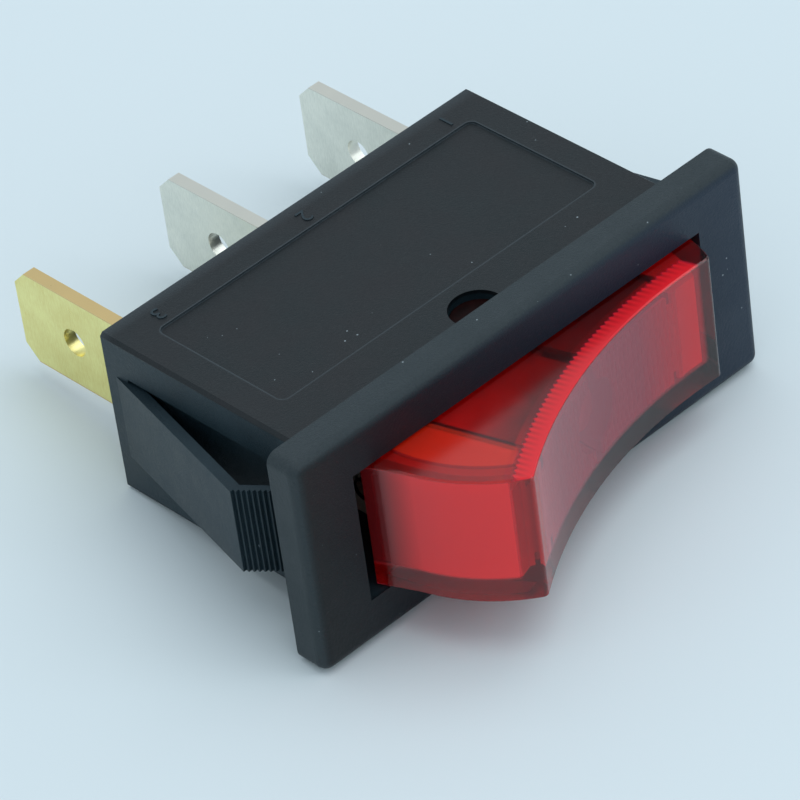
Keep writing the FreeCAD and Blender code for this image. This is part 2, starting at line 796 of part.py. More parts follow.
def make_load_terminal():
    """The middle tab; inside it forks into two prongs, notched for the arm's ears."""
    body = new_body("terminal_load")
    corners = blade_outline("fork_width/2")
    corners += [(FULCRUM, "fork_width/2"), (FULCRUM, "fork_gap/2")]
    corners += [(f"{FULCRUM} + fork_floor", "fork_gap/2")]
    pad(draw(sketch(body, "YZ_Plane"), mirrored(corners)), "tab_thick", both=True)
    finish_tab(body)
    notch = circle(sketch(body, "XY_Plane"), "0", FULCRUM, "arm_thick + 2*ear_fit")
    pocket(notch, "tab_width", both=True)
    return body


def make_carrier():
    """A cradle for the lamp: a plate on the stops, saddles in front and behind, and two legs."""
    body = new_body("lamp_carrier")
    outer, inner = f"-({CAVITY_HALF} - carrier_fit)", "-carrier_inner"
    half = f"({CAVITY_HEIGHT}/2 - carrier_fit)"
    flat = sketch(body, "XZ_Plane", f"-{CARRIER_REAR}")
    rectangle(flat, outer, f"-{half}", inner, half)
    pad(flat, "carrier_thick")
    for place in ("carrier_inner + saddle_thick", "carrier_inner + carrier_leg - saddle_thick"):
        radius = "(lamp_width/2 + lead_fit)"
        flat = sketch(body, "YZ_Plane", f"-({place})")
        saddle(flat, "lamp_depth", REST_STOP, "0", radius, "saddle_height/2")
        pad(flat, "saddle_thick", both=True)
    for place in ("resistor_near + saddle_thick", "resistor_near + resistor_length - saddle_thick"):
        radius = "(resistor_width/2 + lead_fit)"
        flat = sketch(body, "YZ_Plane", f"-({place})")
        saddle(flat, RESISTOR_DEPTH, CARRIER_REAR, "electrode_offset", radius, "resistor_width")
        pad(flat, "saddle_thick", both=True)
    flat = sketch(body, "XZ_Plane", f"-{FLOOR}")
    far = "-(carrier_inner + carrier_leg)"
    for side in ("", "-"):
        rectangle(flat, far, f"{side}({half} - carrier_thick)", inner, f"{side}{half}")
    pad(flat, f"{FLOOR} - {CARRIER_REAR}")
    return body


def saddle(flat, top, base, middle, radius, half):
    """A slab from the plate to the height of a round piece's axis, with a half-round seat in its edge."""
    turn = "-" if value(top) < value(base) else ""
    return draw(
        flat,
        [
            (base, f"{middle} - {half}"),
            (base, f"{middle} + {half}"),
            (top, f"{middle} + {half}"),
            (top, f"~{middle} + {radius}", top, middle, f"{turn}{radius}"),
            (top, f"~{middle} - {radius}"),
            (top, f"{middle} - {half}"),
        ],
    )


def make_lamp_glass():
    """A thin glass tube with a blunt tapered end and a solid seal, its axis along X."""
    body = new_body("lamp_glass", x="-lamp_seal", y="lamp_depth")
    radius, inner = "(lamp_width/2)", "(lamp_width/2 - glass_wall)"
    shoulder = f"-(lamp_length - {radius})"
    flat = draw(
        sketch(body, "XY_Plane"),
        [
            ("0", "0"),
            ("0", "seal_width/2"),
            ("-seal_length*2/3", radius),
            (shoulder, radius),
            ("-lamp_length", f"{radius}/3"),
            ("-lamp_length", "0"),
            ("glass_wall - lamp_length", "0"),
            ("glass_wall - lamp_length", f"{inner}/3"),
            (shoulder, inner),
            ("-seal_length", inner),
            ("-seal_length", "0"),
        ],
    )
    revolve(flat, "H_Axis")
    flat = sketch(body, "YZ_Plane")
    for side in ("", "-"):
        circle(flat, "0", f"{side}electrode_offset", "lead_width + 2*lead_fit")
    pocket(flat, "seal_length + glass_wall")
    return body


def make_electrode(label, side):
    """A plain rod in the lamp, butted on its wire."""
    rod = doc.addObject("Part::Cylinder", label)
    rod.Label = label
    rod.Placement.Rotation = Rotation(Vector(0, 1, 0), -90)
    bind(
        rod,
        Radius="electrode_width/2",
        Height="electrode_length",
        Placement__Base__x=ELECTRODE_END,
        Placement__Base__y="lamp_depth",
        Placement__Base__z=f"{side}electrode_offset",
    )
    pieces.append(rod)
    return rod


def make_wire(label, level, along, path):
    """A round wire at one level through a path's points, mitred at each; it sets off along X or Y."""
    body = new_body(label)
    spine = draw(sketch(body, "XY_Plane", level), path, closed=False)
    (start_x, start_y), runs = path[0], len(path) - 1
    if along == "X":
        section = circle(sketch(body, "YZ_Plane", start_x), start_y, level, "lead_width")
    else:
        section = circle(sketch(body, "XZ_Plane", f"-({start_y})"), start_x, level, "lead_width")
    doc.recompute()
    pipe = body.newObject("PartDesign::AdditivePipe", label + "_pipe")
    pipe.Profile = section
    pipe.Spine = (spine, [f"Edge{i + 1}" for i in range(runs)])
    pipe.Transition = "Right corner"
    doc.recompute()


def make_lamp_leads():
    """The upper wire ends in the splice; the lower one goes on to the load terminal."""
    out = [
        (ELECTRODE_END, "lamp_depth"),
        ("-(lead_place + lead_bend)", "lamp_depth"),
        ("-lead_place", "lamp_depth + lead_bend"),
    ]
    make_wire("lamp_lead_upper", "electrode_offset", "X", [*out, ("-lead_place", SPLICE_MIDDLE)])
    turn_y = f"({FULCRUM} + fork_floor + tab_thick)"
    to_load = [
        ("-lead_place", f"{turn_y} - lead_bend"),
        ("lead_bend - lead_place", turn_y),
        ("-tab_thick/2", turn_y),
    ]
    make_wire("lamp_lead_lower", "-electrode_offset", "X", [*out, *to_load])


def make_splice():
    """A crimped sleeve over the two wires' ends."""
    body = new_body("splice", x="-lead_place", z="electrode_offset")
    flat = sketch(body, "XZ_Plane", "-splice_front - splice_length")
    circle(flat, "0", "0", "splice_width")
    circle(flat, "0", "0", "lead_width + 2*lead_fit")
    pad(flat, "splice_length")
    return body


def make_resistor():
    """A small film resistor with swollen ends, its axis along X."""
    body = new_body("resistor", x="-resistor_near", y=RESISTOR_DEPTH, z="electrode_offset")
    full, waist, cap = "resistor_width/2", "resistor_waist/2", "(resistor_length/4)"
    flat = draw(
        sketch(body, "XY_Plane"),
        [
            ("0", "0"),
            ("0", full),
            (f"-{cap}", full),
            (f"-{cap}*1.2", waist),
            (f"{cap}*1.2 - resistor_length", waist),
            (f"{cap} - resistor_length", full),
            ("-resistor_length", full),
            ("-resistor_length", "0"),
        ],
    )
    revolve(flat, "H_Axis")
    return body


def make_resistor_leads():
    """One wire comes from the splice, the other goes to the lamp terminal's foot."""
    path = [
        ("-lead_place", SPLICE_MIDDLE),
        ("-lead_place", f"{RESISTOR_DEPTH} - lead_bend"),
        ("-(lead_place + lead_bend)", RESISTOR_DEPTH),
        ("-resistor_near", RESISTOR_DEPTH),
    ]
    make_wire("resistor_lead_front", "electrode_offset", "Y", path)
    path = [
        ("-lead_rear_place", FOOT_FRONT),
        ("-lead_rear_place", f"{RESISTOR_DEPTH} + lead_bend"),
        ("lead_bend - lead_rear_place", RESISTOR_DEPTH),
        ("-(resistor_near + resistor_length)", RESISTOR_DEPTH),
    ]
    make_wire("resistor_lead_rear", "electrode_offset", "Y", path)


def check_all():
    """Stops if any object failed or any piece is not one valid solid."""
    for item in doc.Objects:
        if "Invalid" in item.State or "Error" in item.State:
            raise ValueError(f"{item.Label} failed: {item.State}")
    for piece in pieces:
        shape = piece.Shape
        if shape.isNull() or not shape.isValid() or len(shape.Solids) != 1:
            raise ValueError(f"{piece.Label} is not one valid solid")


def write_all():
    os.makedirs("parts", exist_ok=True)
    for piece in pieces:
        piece.Shape.exportStep(f"parts/{piece.Label}.step")


fill_sheet()
make_housing()
make_rocker()
make_plunger()
make_spring()
make_arm()
make_moving_contact()
make_fixed_contact()
make_supply_terminal()
make_load_terminal()
make_footed_terminal("terminal_lamp", "-")
make_carrier()
make_lamp_glass()
make_electrode("electrode_upper", "")
make_electrode("electrode_lower", "-")
make_lamp_leads()
make_splice()
make_resistor()
make_resistor_leads()
doc.recompute()
check_all()
write_all()
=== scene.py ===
import json
import math

import bpy
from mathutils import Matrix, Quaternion, Vector


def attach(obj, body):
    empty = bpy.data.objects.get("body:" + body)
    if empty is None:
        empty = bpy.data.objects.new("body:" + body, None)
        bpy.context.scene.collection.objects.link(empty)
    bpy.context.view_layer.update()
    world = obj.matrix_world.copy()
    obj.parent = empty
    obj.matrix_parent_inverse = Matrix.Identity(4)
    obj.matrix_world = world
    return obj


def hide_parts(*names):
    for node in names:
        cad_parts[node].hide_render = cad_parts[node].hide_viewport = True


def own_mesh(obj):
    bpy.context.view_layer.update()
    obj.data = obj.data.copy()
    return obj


# Dressing of the lighted panel rocker switch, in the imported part's own frame, which is in metres.
# A length is in millimetres until it is multiplied by MM.

MM = 0.001

# Camera, worked out from corners picked in the photograph
AIM = Vector((-2.486, 6.350, -1.645)) * MM
DISTANCE = 307.26 * MM
AZIMUTH = math.radians(-39.148)
ELEVATION = math.radians(38.285)
ROLL = math.radians(-8.235)
SENSOR = 36.0
LENS = 248.74

# Housing: where its side faces, the bezel's rim and front, and the edge of its side field lie
BODY_SIDE = 5.5
BODY_DEPTH = 16.8
BEZEL_HALF = 17.25
BEZEL_SIDE = 7.2
BEZEL_FRONT = -2.2
BEZEL_REAR = 0.0
BEZEL_MARGIN = 0.1
SIDE_MARGIN = 0.25
RIM_WIDTH = 0.45
SHEEN_DEPTH = 0.9
FIELD_HALF = 12.2
FIELD_FRONT = 4.3
FIELD_REAR = 14.45
FIELD_ROUND = 0.5

# Rocker, measured from its pivot when it is level; its materials follow these
PIVOT = Vector((0, 1.7, 0))
THROW = math.radians(16)
ROCKER_SIDE = 4.2
ROCKER_HALF = 12.5
END_SHOULDER = 2.5
END_RADIUS = 10.19
END_HOLLOW = 8.95
SKIRT_FLARE = 0.33
SKIRT_START = 6.6
SKIRT_END = 8.6
HOLLOW_SIDE = 3.0
HOLLOW_HALF = 9.3
BROWN_SHADE_DEPTH = 5.5
FRONT_WALL = 1.45
DISH_RADIUS = 30.6
DISH_FRONT = 7.2
FIN_PLACE = 7.8
FIN_START = 1.8
RIB_PITCH = 0.42
RIB_WAVE = 0.10
GLOW_LOW = -2.55
GLOW_HIGH = ROCKER_SIDE - 0.12
FLANK_PLACE = ROCKER_SIDE - 0.08
WALL_PLACE = FRONT_WALL - 0.2
DISH_SKIN = 0.12
STRIP_DEPTH = 1.05
CHAMBER_START = FIN_PLACE + 0.5

# Tabs and the small raised numbers beside them
TAB_PITCH = 11.2
TAB_SIDE = 3.175
MARK_DEPTH = 15.5
MARK_SIZE = 1.5
MARK_RAISE = 0.05

# Resistor: where it starts and ends along the switch
RESISTOR_START = -9.4
RESISTOR_END = -5.6

# How far a vertex may be off a face's place and still count as on that face
TOLERANCE = 0.05

# Floor, in metres, under the bezel's rear bottom edge and the body's rear bottom edge
FLOOR_HALF = 0.6
FLOOR_DROP = 0.03 * MM

# Room and lamps
ROOM_COLOUR = (0.74, 0.86, 0.94, 1)
ROOM_STRENGTH = 0.87
LAMP_COLOUR = (0.93, 0.97, 1.0)

# Metals: dull colour, bright colour, least and most roughness, and the colour of a tab's cut edges
METALS = {
    "tin_plate": ((0.72, 0.72, 0.64), (0.92, 0.91, 0.82), (0.30, 0.45), (0.72, 0.68, 0.60)),
    "bare_brass": ((0.84, 0.71, 0.26), (0.98, 0.91, 0.41), (0.26, 0.42), (0.78, 0.55, 0.25)),
    "spring_steel": ((0.42, 0.43, 0.44), (0.58, 0.58, 0.58), (0.20, 0.35), None),
    "copper_strip": ((0.62, 0.33, 0.20), (0.78, 0.46, 0.30), (0.25, 0.40), None),
    "silver_contact": ((0.74, 0.73, 0.70), (0.86, 0.85, 0.83), (0.20, 0.35), None),
    "lamp_rod": ((0.36, 0.34, 0.33), (0.46, 0.44, 0.42), (0.35, 0.50), None),
    "tinned_wire": ((0.56, 0.57, 0.56), (0.72, 0.72, 0.70), (0.25, 0.40), None),
}

# Node material helpers


def new_material(name):
    """A new material with its node tree and its shader."""
    mat = bpy.data.materials.new(name)
    mat.use_nodes = True
    shader = mat.node_tree.nodes["Principled BSDF"]
    return mat, mat.node_tree, shader


def set_sockets(shader, **values):
    """Sets plain values on a shader's sockets, spaces written as underscores."""
    for name, value in values.items():
        shader.inputs[name.replace("_", " ")].default_value = value


def link_sockets(tree, shader, **sources):
    """Feeds a shader's sockets from other nodes, spaces written as underscores."""
    for name, source in sources.items():
        tree.links.new(source, shader.inputs[name.replace("_", " ")])


def coords(tree, scale=(1, 1, 1)):
    """Object coordinates in millimetres, stretched by scale."""
    place = tree.nodes.new("ShaderNodeTexCoord")
    stretch = tree.nodes.new("ShaderNodeVectorMath")
    stretch.operation = "MULTIPLY"
    stretch.inputs[1].default_value = [s / MM for s in scale]
    tree.links.new(place.outputs["Object"], stretch.inputs[0])
    return stretch.outputs[0]


def split(tree, where):
    """The three coordinates of a place."""
    parts = tree.nodes.new("ShaderNodeSeparateXYZ")
    tree.links.new(where, parts.inputs[0])
    return tuple(parts.outputs)


def noise(tree, where, scale, detail=3.0, rough=0.55):
    """Cloudy noise from 0 to 1, its scale in waves per millimetre."""
    node = tree.nodes.new("ShaderNodeTexNoise")
    node.inputs["Scale"].default_value = scale
    node.inputs["Detail"].default_value = detail
    node.inputs["Roughness"].default_value = rough
    tree.links.new(where, node.inputs["Vector"])
    return node.outputs["Fac"]


def spread(tree, source, low, high, to_low=0, to_high=1):
    """Maps a value's range low..high to another range, and holds it at that range's ends."""
    node = tree.nodes.new("ShaderNodeMapRange")
    node.inputs["From Min"].default_value = low
    node.inputs["From Max"].default_value = high
    node.inputs["To Min"].default_value = to_low
    node.inputs["To Max"].default_value = to_high
    tree.links.new(source, node.inputs["Value"])
    return node.outputs["Result"]


def maths(tree, operation, *values):
    """One sum on values that are sockets or plain numbers."""
    node = tree.nodes.new("ShaderNodeMath")
    node.operation = operation
    for place, value in zip(node.inputs, values):
        if isinstance(value, (int, float)):
            place.default_value = value
        else:
            tree.links.new(value, place)
    return node.outputs[0]


def distance(tree, first, second):
    """The length of two steps at right angles."""
    squares = [maths(tree, "MULTIPLY", step, step) for step in (first, second)]
    return maths(tree, "SQRT", maths(tree, "ADD", *squares))


def apart(tree, first, second):
    """How far two values lie from each other."""
    return maths(tree, "ABSOLUTE", maths(tree, "SUBTRACT", first, second))


def beyond(tree, source, edge, soft=0.05):
    """0 below the edge, 1 above it."""
    return spread(tree, source, edge - soft, edge + soft, 0, 1)


def within(tree, source, edge, soft=0.05):
    """1 below the edge, 0 above it."""
    return spread(tree, source, edge - soft, edge + soft, 1, 0)


def all_of(tree, first, *masks):
    """A mask where all the given masks hold."""
    product = first
    for mask in masks:
        product = maths(tree, "MULTIPLY", product, mask)
    return product


def blend_colour(tree, factor, first, second):
    """Mixes two colours by factor; each is a socket or three numbers."""
    node = tree.nodes.new("ShaderNodeMix")
    node.data_type = "RGBA"
    for name, colour in (("A", first), ("B", second)):
        if isinstance(colour, tuple):
            node.inputs[name].default_value = (*colour, 1)
        else:
            tree.links.new(colour, node.inputs[name])
    tree.links.new(factor, node.inputs["Factor"])
    return node.outputs["Result"]


def paint(tree, colour, *layers):
    """Lays colours over a first one; each layer is a mask and its colour."""
    for mask, over in layers:
        colour = blend_colour(tree, mask, colour, over)
    return colour


def bump(tree, shader, height, depth_mm, strength):
    """Raises the surface by the height value times a depth in millimetres."""
    node = tree.nodes.new("ShaderNodeBump")
    node.inputs["Strength"].default_value = strength
    node.inputs["Distance"].default_value = depth_mm * MM
    tree.links.new(height, node.inputs["Height"])
    link_sockets(tree, shader, Normal=node.outputs["Normal"])


# Material of the housing


def field_edge(tree, ahead, depth):
    """A mask on the thin line round the side field, whose corners are round, where a pale highlight is
    painted.
    """
    middle = (FIELD_REAR + FIELD_FRONT) / 2
    reach = (FIELD_REAR - FIELD_FRONT) / 2
    along = maths(tree, "SUBTRACT", ahead, FIELD_HALF - FIELD_ROUND)
    across = maths(tree, "SUBTRACT", apart(tree, depth, middle), reach - FIELD_ROUND)
    corner = distance(tree, maths(tree, "MAXIMUM", along, 0.0), maths(tree, "MAXIMUM", across, 0.0))
    inside = maths(tree, "MINIMUM", maths(tree, "MAXIMUM", along, across), 0.0)
    from_line = apart(tree, maths(tree, "ADD", corner, inside), FIELD_ROUND)
    return within(tree, from_line, 0.07, soft=0.04)


def housing_zones(tree, where):
    """Masks on the housing's sides, the bezel's rim and front, and the edges where highlights are painted."""
    along, depth, up = split(tree, where)
    ahead = maths(tree, "ABSOLUTE", along)
    height = maths(tree, "ABSOLUTE", up)
    behind_bezel = beyond(tree, depth, BEZEL_REAR + BEZEL_MARGIN)
    on_bezel = within(tree, depth, BEZEL_REAR + BEZEL_MARGIN)
    side = all_of(tree, beyond(tree, height, BODY_SIDE - SIDE_MARGIN), behind_bezel)
    long_rim = beyond(tree, height, BEZEL_SIDE - RIM_WIDTH, soft=0.15)
    short_rim = beyond(tree, ahead, BEZEL_HALF - RIM_WIDTH, soft=0.15)
    rim = all_of(tree, maths(tree, "MAXIMUM", long_rim, short_rim), on_bezel)
    # Painted highlights: a pale line round the side field and a sheen towards the body's rear edge.
    highlight_line = maths(tree, "MULTIPLY", field_edge(tree, ahead, depth), 0.8)
    sheen = spread(tree, depth, BODY_DEPTH - SHEEN_DEPTH, BODY_DEPTH, 0, 0.6)
    return {
        "side": side,
        "rim": rim,
        "front": within(tree, depth, BEZEL_FRONT + BEZEL_MARGIN, soft=0.1),
        "far": spread(tree, along, -BEZEL_HALF, BEZEL_HALF),
        "edges": all_of(tree, side, maths(tree, "MAXIMUM", highlight_line, sheen)),
    }


def specks(tree, where):
    """A few tiny dots, and none over most of the surface."""
    cells = tree.nodes.new("ShaderNodeTexVoronoi")
    cells.inputs["Scale"].default_value = 1.05
    tree.links.new(where, cells.inputs["Vector"])
    size = spread(tree, noise(tree, where, 0.6, 1.0), 0.42, 0.75, 0.0, 0.075)
    return maths(tree, "LESS_THAN", cells.outputs["Distance"], size)


def black_nylon():
    """Black glass-filled nylon: grained, cloudy and dusty, with painted highlights on the bezel's rim and
    along its edges.
    """
    mat, tree, shader = new_material("black_nylon")
    set_sockets(shader, Specular_IOR_Level=0.33)
    where = coords(tree)
    zones = housing_zones(tree, where)
    cloud = noise(tree, where, 0.22, 4.0, 0.6)
    grain = noise(tree, where, 7.0, 3.0, 0.6)
    fine = noise(tree, where, 19.0, 2.0, 0.5)
    patches = spread(tree, cloud, 0.35, 0.65)
    # Painted light: the ends get a paler teal, as if lit; the cloudy patches are random tone.
    ends = blend_colour(tree, patches, (0.008, 0.019, 0.026), (0.014, 0.029, 0.038))
    # Painted shade: the side faces get a darker purplish black.
    shaded_sides = blend_colour(tree, patches, (0.001, 0.005, 0.007), (0.008, 0.009, 0.011))
    # Painted highlight: the bezel's rim is paler, as if its rounded edge caught the light; its grain is the
    # surface's own.
    grained_highlight = blend_colour(tree, grain, (0.004, 0.012, 0.016), (0.032, 0.044, 0.050))
    # Painted shade and reflection: the bezel's front is nearly black at its near end, bluish at its far end.
    front = blend_colour(tree, zones["far"], (0.0003, 0.0015, 0.002), (0.008, 0.020, 0.040))
    colour = paint(
        tree,
        ends,
        (zones["side"], shaded_sides),
        (zones["rim"], grained_highlight),
        (zones["front"], front),
        # Painted highlight on the field's outline and along the rear edge.
        (zones["edges"], (0.040, 0.052, 0.060)),
        (specks(tree, where), (0.24, 0.28, 0.30)),
    )
    rough = spread(tree, cloud, 0.3, 0.7, 0.34, 0.50)
    rough = maths(tree, "ADD", rough, spread(tree, grain, 0.3, 0.7, -0.04, 0.07))
    link_sockets(tree, shader, Base_Color=colour, Roughness=rough)
    coarser_rim = spread(tree, zones["rim"], 0, 1, 1, 1.8)
    bump(tree, shader, maths(tree, "MULTIPLY", maths(tree, "ADD", grain, fine), coarser_rim), 0.028, 0.9)
    return mat


# Materials of the rocker


def rocker_place(tree):
    """A place in the level rocker: along it, in behind its dish, up its width, out from its end's curve."""
    turn = tree.nodes.new("ShaderNodeVectorRotate")
    turn.rotation_type = "Z_AXIS"
    turn.inputs["Center"].default_value = PIVOT
    turn.inputs["Angle"].default_value = -THROW
    tree.links.new(coords(tree), turn.inputs["Vector"])
    along, back, height = split(tree, turn.outputs["Vector"])
    from_dish = distance(tree, along, maths(tree, "ADD", back, DISH_FRONT + DISH_RADIUS - PIVOT.y))
    depth = maths(tree, "SUBTRACT", from_dish, DISH_RADIUS)
    ahead = maths(tree, "ABSOLUTE", along)
    past_centre = maths(tree, "SUBTRACT", ahead, ROCKER_HALF - END_RADIUS)
    from_end = distance(tree, past_centre, maths(tree, "ADD", back, END_SHOULDER - PIVOT.y))
    return along, depth, height, from_end


def lens_zones(tree):
    """Masks on the rocker's outside, where light and shade are painted by what shows through it at each
    place.
    """
    along, depth, height, from_end = rocker_place(tree)
    ahead = maths(tree, "ABSOLUTE", along)
    top = beyond(tree, height, FLANK_PLACE, soft=0.02)
    flanks = beyond(tree, maths(tree, "ABSOLUTE", height), FLANK_PLACE, soft=0.02)
    # Painted glow: the band across the rocker's width, from just above its lower side to just under its upper
    # side.
    glow = all_of(tree, beyond(tree, height, GLOW_LOW, soft=0.12), within(tree, height, GLOW_HIGH))
    before_wall = within(tree, depth, WALL_PLACE, soft=0.10)
    behind_wall = beyond(tree, depth, WALL_PLACE, soft=0.10)
    half_rib = RIB_PITCH / 2
    ribs = spread(tree, maths(tree, "PINGPONG", along, half_rib), 0, half_rib, -RIB_WAVE, RIB_WAVE)
    ribbed = within(tree, maths(tree, "ADD", depth, ribs), STRIP_DEPTH, soft=0.08)
    over_hollow = within(tree, ahead, HOLLOW_HALF, soft=0.15)
    near_flanks = all_of(tree, flanks, within(tree, along, -CHAMBER_START))
    # Painted glow: orange over the flanks where the near end's hollow shows through.
    chamber = all_of(
        tree,
        near_flanks,
        beyond(tree, depth, STRIP_DEPTH + 0.2, soft=0.15),
        within(tree, from_end, END_HOLLOW),
    )
    return {
        "edge": all_of(tree, before_wall, beyond(tree, depth, DISH_SKIN)),
        "dish": all_of(tree, glow, over_hollow, within(tree, depth, DISH_SKIN)),
        "dish_far": spread(tree, along, 4.0, 8.5),
        "end": all_of(tree, glow, behind_wall),
        "skirt_shade": spread(tree, depth, SKIRT_START, SKIRT_END),
        "chamber": chamber,
        "rim": all_of(tree, near_flanks, within(tree, apart(tree, from_end, END_HOLLOW), 0.12)),
        "strip": all_of(tree, top, ribbed, within(tree, along, HOLLOW_HALF, soft=0.15)),
        "groove": all_of(tree, spread(tree, ribs, -RIB_WAVE, RIB_WAVE), spread(tree, depth, 0.2, 0.9)),
        "flanks": flanks,
    }


def red_lens():
    """Clear red polycarbonate, with painted shade over its solid walls and painted glow where the ribs and
    the hollow would light it.
    """
    mat, tree, shader = new_material("red_lens")
    set_sockets(shader, IOR=1.58, Specular_IOR_Level=0.34)
    zones = lens_zones(tree)
    haze = noise(tree, coords(tree), 0.9, 3.0, 0.5)
    clear = blend_colour(tree, haze, (0.95, 0.040, 0.050), (0.98, 0.050, 0.060))
    # Painted reflection and glow: pinkish dish as if reflecting the floor, bright red at its far end as if
    # lit.
    dish = blend_colour(tree, zones["dish_far"], (0.72, 0.11, 0.17), (0.94, 0.045, 0.065))
    # Painted glow and shade: the end face glows bright red and turns dark towards the skirt, as if shaded.
    end = blend_colour(tree, zones["skirt_shade"], (0.97, 0.035, 0.040), (0.16, 0.008, 0.010))
    # Painted glow and shade: the strip along the top glows red, darker in the grooves between the ribs.
    ribs = blend_colour(tree, zones["groove"], (0.84, 0.012, 0.022), (0.50, 0.008, 0.014))
    colour = paint(
        tree,
        clear,
        # Painted shade: a darker purplish tint over the solid front wall beside the dish.
        (zones["edge"], (0.78, 0.015, 0.055)),
        (zones["dish"], dish),
        (zones["end"], end),
        # Painted glow over the near-end chamber, and painted shade as a dark line at its end.
        (zones["chamber"], (0.97, 0.040, 0.010)),
        (zones["rim"], (0.45, 0.012, 0.016)),
        (zones["strip"], ribs),
    )
    # The painted zones show their colour diffusely instead of letting light through, carrying the painted
    # glow and reflection.
    painted_share = maths(tree, "MULTIPLY", zones["dish"], 0.30)
    for zone, share in (("end", 0.62), ("chamber", 0.30), ("strip", 0.85)):
        painted_share = maths(tree, "MAXIMUM", painted_share, maths(tree, "MULTIPLY", zones[zone], share))
    rough = spread(tree, haze, 0.3, 0.7, 0.08, 0.12)
    rough = maths(tree, "ADD", rough, maths(tree, "MULTIPLY", zones["flanks"], 0.12))
    clearness = maths(tree, "SUBTRACT", 1.0, painted_share)
    link_sockets(tree, shader, Base_Color=colour, Transmission_Weight=clearness, Roughness=rough)
    bump(tree, shader, noise(tree, coords(tree), 14.0, 2.0, 0.5), 0.002, 0.3)
    return mat


def red_core():
    """The rocker's hollow, painted with light and shade: orange at its near end, red at its far end, brown
    shade between, dark shade along the fins.
    """
    mat, tree, shader = new_material("red_core")
    set_sockets(shader, Specular_IOR_Level=0.2)
    along, depth = rocker_place(tree)[:2]
    ahead = maths(tree, "ABSOLUTE", along)
    cloud = noise(tree, coords(tree), 0.5, 3.0, 0.5)
    drift = maths(tree, "ADD", depth, spread(tree, cloud, 0, 1, -1.2, 1.2))
    # Painted shade and light: brown shade near the front wall, red light deep in the hollow.
    deep = spread(tree, drift, FRONT_WALL, BROWN_SHADE_DEPTH)
    lit_and_shaded_walls = blend_colour(tree, deep, (0.20, 0.030, 0.012), (0.95, 0.045, 0.020))
    towards_ends = spread(tree, ahead, 5.0, 9.0)
    front = blend_colour(tree, towards_ends, (0.34, 0.020, 0.024), (0.95, 0.05, 0.05))
    fin_shade = within(tree, apart(tree, ahead, FIN_PLACE), 0.28, soft=0.06)
    # Painted light and shade: shade over the middle, red light at the far end, orange light at the near end.
    colour = paint(
        tree,
        lit_and_shaded_walls,
        (spread(tree, along, -2.0, 4.0), (0.20, 0.013, 0.012)),
        (beyond(tree, along, FIN_PLACE), (0.95, 0.045, 0.035)),
        (within(tree, along, -FIN_PLACE), (0.98, 0.11, 0.025)),
        # Painted light on the front wall: dim in the middle, bright towards the ends; painted shade along the
        # fins.
        (within(tree, depth, FRONT_WALL + 0.35), front),
        (all_of(tree, fin_shade, beyond(tree, depth, FIN_START)), (0.14, 0.010, 0.008)),
    )
    link_sockets(tree, shader, Base_Color=colour, Roughness=spread(tree, cloud, 0.3, 0.7, 0.45, 0.65))
    bump(tree, shader, noise(tree, coords(tree), 6.0, 2.0), 0.01, 0.5)
    return mat


def shaded_red_pin():
    """The pivot pins: the same red, painted almost black as the shade of their windows."""
    mat, tree, shader = new_material("shaded_red_pin")
    set_sockets(shader, Specular_IOR_Level=0.06)
    where = coords(tree)
    cloud = noise(tree, where, 1.5, 3.0)
    # Painted shade: nearly black, for the dark of the pins' windows.
    colour = blend_colour(tree, spread(tree, cloud, 0.3, 0.7), (0.006, 0.002, 0.002), (0.014, 0.003, 0.003))
    link_sockets(tree, shader, Base_Color=colour, Roughness=spread(tree, cloud, 0.3, 0.7, 0.40, 0.55))
    bump(tree, shader, noise(tree, where, 9.0, 2.0), 0.004, 0.4)
    return mat


# Other materials


def plated_metal(name, dull, bright, rough, cut):
    """Metal with fine streaks, soft stains and small pits, and with its own colour on a tab's cut edges."""
    mat, tree, shader = new_material(name)
    set_sockets(shader, Metallic=1.0)
    where = coords(tree)
    streak = noise(tree, coords(tree, (1, 6, 1)), 2.2, 5.0, 0.65)
    stain = noise(tree, where, 0.5, 4.0, 0.6)
    pit = noise(tree, where, 9.0, 2.0, 0.5)
    colour = blend_colour(tree, spread(tree, maths(tree, "ADD", streak, stain), 0.7, 1.3), dull, bright)
    if cut:
        height = maths(tree, "ABSOLUTE", split(tree, where)[2])
        colour = paint(tree, colour, (beyond(tree, height, TAB_SIDE - 0.08, soft=0.04), cut))
    link_sockets(tree, shader, Base_Color=colour, Roughness=spread(tree, stain, 0.3, 0.7, *rough))
    bump(tree, shader, maths(tree, "ADD", streak, pit), 0.006, 0.4)
    return mat


def white_nylon():
    """Natural nylon painted a darker grey as shade, with a faint grain."""
    mat, tree, shader = new_material("white_nylon")
    where = coords(tree)
    cloud = noise(tree, where, 0.6, 3.0, 0.5)
    # Painted shade: darker than natural nylon, for the shade where it shows beside the rocker.
    colour = blend_colour(tree, spread(tree, cloud, 0.3, 0.7), (0.30, 0.27, 0.22), (0.40, 0.37, 0.31))
    link_sockets(tree, shader, Base_Color=colour, Roughness=spread(tree, cloud, 0.3, 0.7, 0.46, 0.55))
    bump(tree, shader, noise(tree, where, 11.0, 2.0), 0.004, 0.4)
    return mat


def lamp_envelope():
    """Clear lamp glass with slight waviness."""
    mat, tree, shader = new_material("lamp_envelope")
    set_sockets(shader, IOR=1.5, Transmission_Weight=1.0, Roughness=0.02)
    wave = noise(tree, coords(tree), 0.8, 2.0)
    colour = blend_colour(tree, spread(tree, wave, 0.3, 0.7), (0.96, 0.95, 0.93), (1.0, 0.99, 0.98))
    link_sockets(tree, shader, Base_Color=colour)
    bump(tree, shader, wave, 0.02, 0.3)
    return mat


